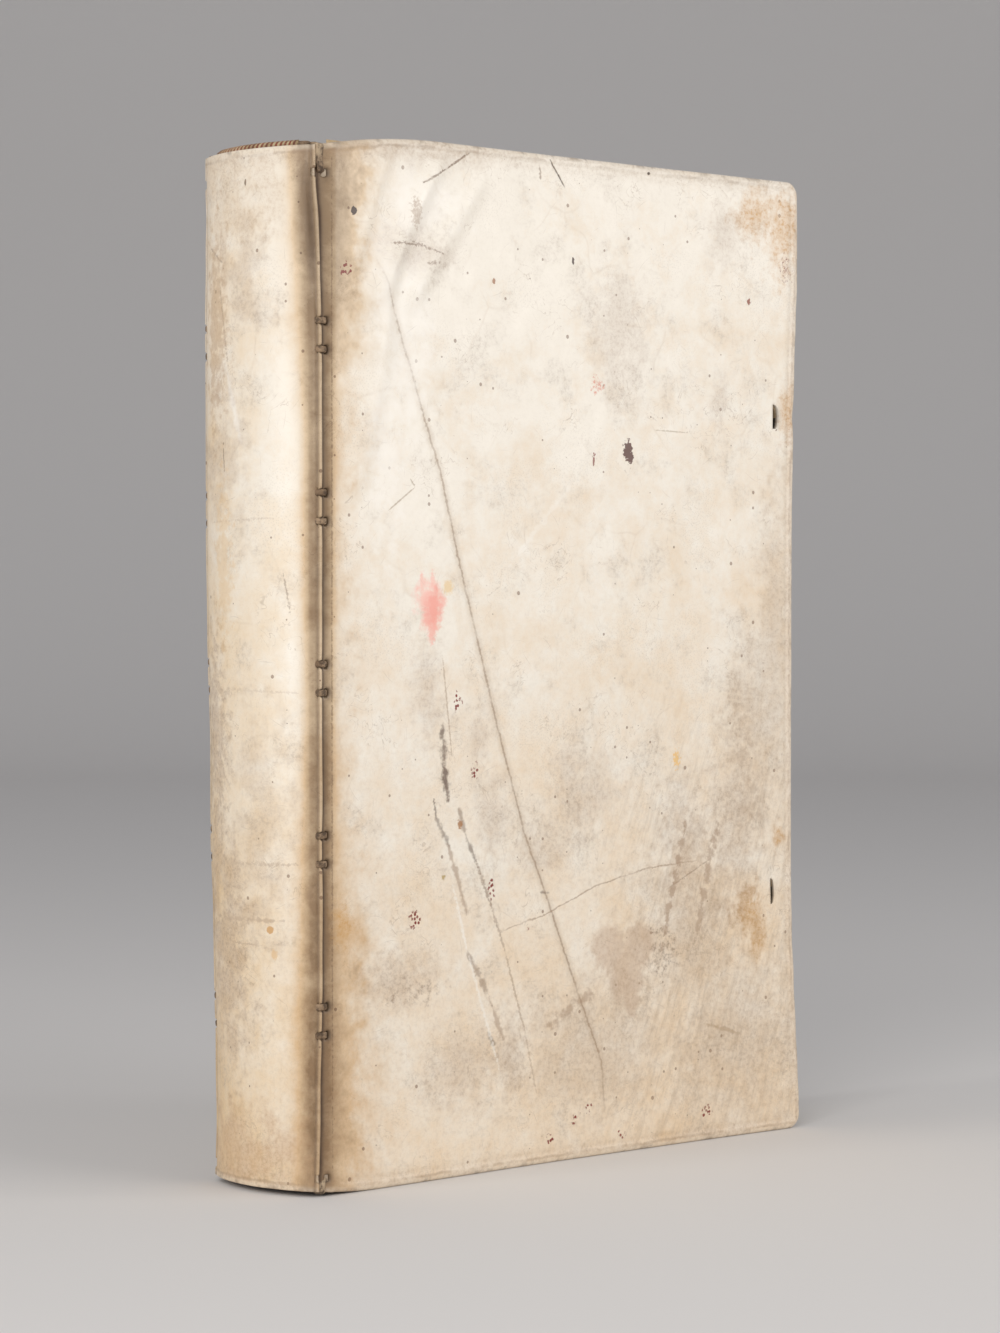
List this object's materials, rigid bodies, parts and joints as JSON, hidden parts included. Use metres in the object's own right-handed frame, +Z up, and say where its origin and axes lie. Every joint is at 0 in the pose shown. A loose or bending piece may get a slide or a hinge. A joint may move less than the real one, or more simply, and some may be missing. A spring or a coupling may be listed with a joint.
{
  "type": "antique book",
  "caption": "Thick antique folio in a laced parchment binding, standing closed on its tail edges, with covers that open on their joints and slits for lost ties.",
  "frame": {"origin": "middle of the footprint on the table, under the closed book", "axes": "+X from the spine to the fore-edge, -Y out of the front cover, +Z up from tail to head"},
  "size_m": [0.267, 0.064, 0.385],
  "materials": {
    "parchment": "worn, stained limp parchment with a soft sheen",
    "pages": "toned, slightly uneven leaf edges",
    "endpaper": "matt laid paper",
    "pasteboard": "matt grey-brown",
    "tawed_skin": "matt, dirty white",
    "plain_thread": "matt linen",
    "red_thread": "matt, faded"
  },
  "bodies": {
    "book": {"text_block": "pages", "spine_linings": "pages", "spine_vellum": "parchment", "thong_1_lower": "tawed_skin", "thong_1_upper": "tawed_skin", "thong_2_lower": "tawed_skin", "thong_2_upper": "tawed_skin", "thong_3_lower": "tawed_skin", "thong_3_upper": "tawed_skin", "thong_4_lower": "tawed_skin", "thong_4_upper": "tawed_skin", "thong_5_lower": "tawed_skin", "thong_5_upper": "tawed_skin", "headband_core": "tawed_skin", "headband_plain_thread": "plain_thread", "headband_red_thread": "red_thread", "tailband_core": "tawed_skin", "tailband_plain_thread": "plain_thread", "tailband_red_thread": "red_thread"},
    "front_cover": {"front_vellum": "parchment", "front_board": "pasteboard", "front_pastedown": "endpaper", "front_slip_ends": "tawed_skin"},
    "back_cover": {"back_vellum": "parchment", "back_board": "pasteboard", "back_pastedown": "endpaper", "back_slip_ends": "tawed_skin"}
  },
  "joints": [
    {"name": "front_cover_hinge", "type": "hinge", "parent": "book", "child": "front_cover", "pos_m": [-0.1192, -0.032, 0.1925], "axis": [0, 0, -1], "range_deg": [0, 170]},
    {"name": "back_cover_hinge", "type": "hinge", "parent": "book", "child": "back_cover", "pos_m": [-0.1192, 0.032, 0.1925], "axis": [0, 0, 1], "range_deg": [0, 170]}
  ]
}
